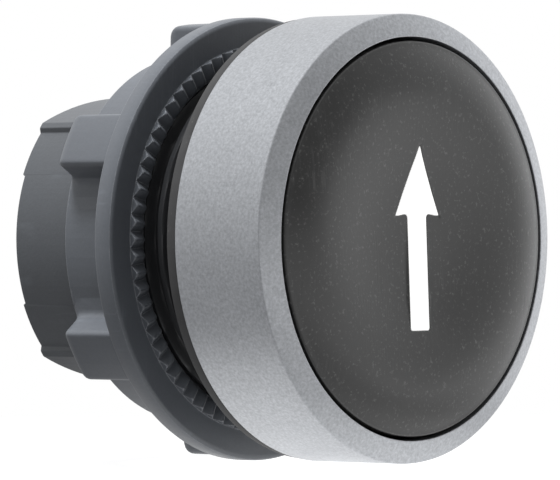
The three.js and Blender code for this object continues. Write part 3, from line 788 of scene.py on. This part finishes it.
def soften_cad_node(node, material, width=0.1):
    """Keeps a CAD node's own shape, and rounds its edges with a modifier."""
    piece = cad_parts[node]
    piece.data.materials.clear()
    piece.data.materials.append(material)
    bevel = piece.modifiers.new("rounded edges", "BEVEL")
    bevel.width = width * MM
    bevel.segments = 2
    bevel.limit_method = "ANGLE"
    bevel.angle_limit = math.radians(40)


# ---------------------------------------------------------------- studio and camera


def make_floor():
    """A floor that is white to the camera away from the object, and lights it from below."""
    lowest, size = cad_box[0][2], FLOOR_HALF_M
    mesh = bpy.data.meshes.new("floor")
    corners = [(-size, -size, lowest), (size, -size, lowest), (size, size, lowest), (-size, size, lowest)]
    mesh.from_pydata(corners, [], [(0, 1, 2, 3)])
    floor = bpy.data.objects.new("floor", mesh)
    bpy.context.scene.collection.objects.link(floor)
    s = Surface("floor_white")
    # away is how far a point is from the origin, and ahead how far in one direction, in metres
    away = s.node("ShaderNodeVectorMath", {"operation": "LENGTH"}, _0=s.coords).outputs["Value"]
    ahead = s.dot(s.coords, (0.75, -0.55, 0))
    seen = s.node("ShaderNodeLightPath").outputs["Is Camera Ray"]
    far = s.calc("MULTIPLY", s.remap(away, 0.02, 0.09, 0.0, 1.0), seen)
    bounce = s.calc(
        "MAXIMUM", s.remap(ahead, -0.01, 0.04, 0.1, 0.85), s.remap(away, 0.015, 0.028, 1.25, 0.0)
    )
    near = s.node(
        "ShaderNodeBsdfPrincipled",
        Base_Color=s.mix(s.noise(40, 3, 0.5), (0.30, 0.30, 0.305), (0.33, 0.33, 0.335)),
        Roughness=0.8,
        Emission_Color=WHITE,
        Emission_Strength=s.calc("MAXIMUM", bounce, s.calc("MULTIPLY", seen, 0.8)),
    )
    glow = s.node("ShaderNodeEmission", Color=WHITE, Strength=1.0)
    both = s.node("ShaderNodeMixShader", _0=far, _1=near.outputs["BSDF"], _2=glow.outputs["Emission"])
    s.node("ShaderNodeOutputMaterial", Surface=both.outputs["Shader"])
    floor.data.materials.append(s.material)


def make_world():
    """A soft studio: a plain white surround for the camera, and broad glows for light and reflections."""
    world = bpy.data.worlds.new("studio")
    bpy.context.scene.world = world
    n = Nodes(world)
    direction = n.node("ShaderNodeTexCoord").outputs["Generated"]
    level = AMBIENT
    for toward, tight, strength in GLOWS:
        facing = n.calc("MAXIMUM", n.dot(direction, Vector(toward).normalized()), 0.0)
        level = n.calc("ADD", level, n.calc("MULTIPLY", n.calc("POWER", facing, tight), strength))
    light = n.node("ShaderNodeBackground", Color=(0.985, 0.99, 1.0, 1), Strength=level)
    plain = n.node("ShaderNodeBackground", Color=WHITE)
    seen = n.node("ShaderNodeLightPath").outputs["Is Camera Ray"]
    both = n.node("ShaderNodeMixShader", _0=seen, _1=light.outputs[0], _2=plain.outputs[0])
    n.node("ShaderNodeOutputWorld", Surface=both.outputs["Shader"])


def add_lamp(name, place_m, size_m, watts, *receivers):
    """A disc lamp that lights only the receivers, and isn't reflected in them."""
    data = bpy.data.lights.new(name, "AREA")
    data.shape = "DISK"
    data.size = size_m
    data.energy = watts
    lamp = bpy.data.objects.new(name, data)
    lamp.location = place_m
    lamp.rotation_euler = (Vector(LAMP_TARGET_M) - Vector(place_m)).to_track_quat("-Z", "Y").to_euler()
    lamp.visible_glossy = False
    bpy.context.scene.collection.objects.link(lamp)
    lit = bpy.data.collections.new(name + " receivers")
    for receiver in receivers:
        lit.objects.link(bpy.data.objects[receiver])
    lamp.light_linking.receiver_collection = lit


def make_camera():
    data = bpy.data.cameras.new("camera")
    data.sensor_width = CAMERA_SENSOR
    data.lens = CAMERA_LENS
    data.clip_start = 0.01
    camera = bpy.data.objects.new("camera", data)
    bpy.context.scene.collection.objects.link(camera)
    camera.location = Vector(CAMERA_PLACE) * MM
    turn = Vector(CAMERA_LOOK).to_track_quat("-Z", "Y").to_matrix().to_4x4()
    roll = Euler((0, 0, math.radians(CAMERA_ROLL_DEGREES))).to_matrix().to_4x4()
    camera.rotation_euler = (turn @ roll).to_euler()
    bpy.context.scene.camera = camera


# ---------------------------------------------------------------- the object

make_bezel(metallised_silver())
make_cap(cap_black())
make_arrow(arrow_white())
make_gasket(rubber("gasket_rubber", (0.022, 0.022, 0.0225), (0.038, 0.038, 0.039)))
make_housing(moulded(
    "housing_grey", (0.042, 0.0455, 0.051), (0.056, 0.0605, 0.067), 0.46, 0.010, (0.30, 0.31, 0.33), 0.6,
    # painted shade on the neck ahead of Y 6 mm, between the gasket and the nut
    painted_shade_to=6,
))
# The nut's bright edge tone is partly wear and partly a painted highlight along the teeth and edges.
make_nut(moulded(
    "nut_grey", (0.060, 0.065, 0.074), (0.075, 0.082, 0.093), 0.42, 0.008, (0.50, 0.52, 0.55), 0.5
))
make_spring(spring_steel())

inner = moulded(
    "inner_plastic", (0.036, 0.038, 0.041), (0.052, 0.054, 0.058), 0.42, 0.007, (0.16, 0.165, 0.17), 0.4
)
for node in ("cap_carrier", "pusher", "guide_insert", "seal_retainer"):
    soften_cad_node(node, inner)
seal = rubber("seal_rubber", (0.020, 0.020, 0.020), (0.034, 0.033, 0.032))
for node in ("plunger_seal", "return_stop_washer"):
    soften_cad_node(node, seal, 0.05)

make_floor()
make_world()
add_lamp("key", (-0.18, 0.06, 0.56), 0.16, 6.8, "nut", "housing", "gasket")
add_lamp("fill", (-0.35, -0.35, -0.005), 0.15, 0.5, "nut", "housing", "gasket")
make_camera()
bpy.context.scene.view_settings.view_transform = "Standard"
bpy.context.scene.view_settings.look = "None"
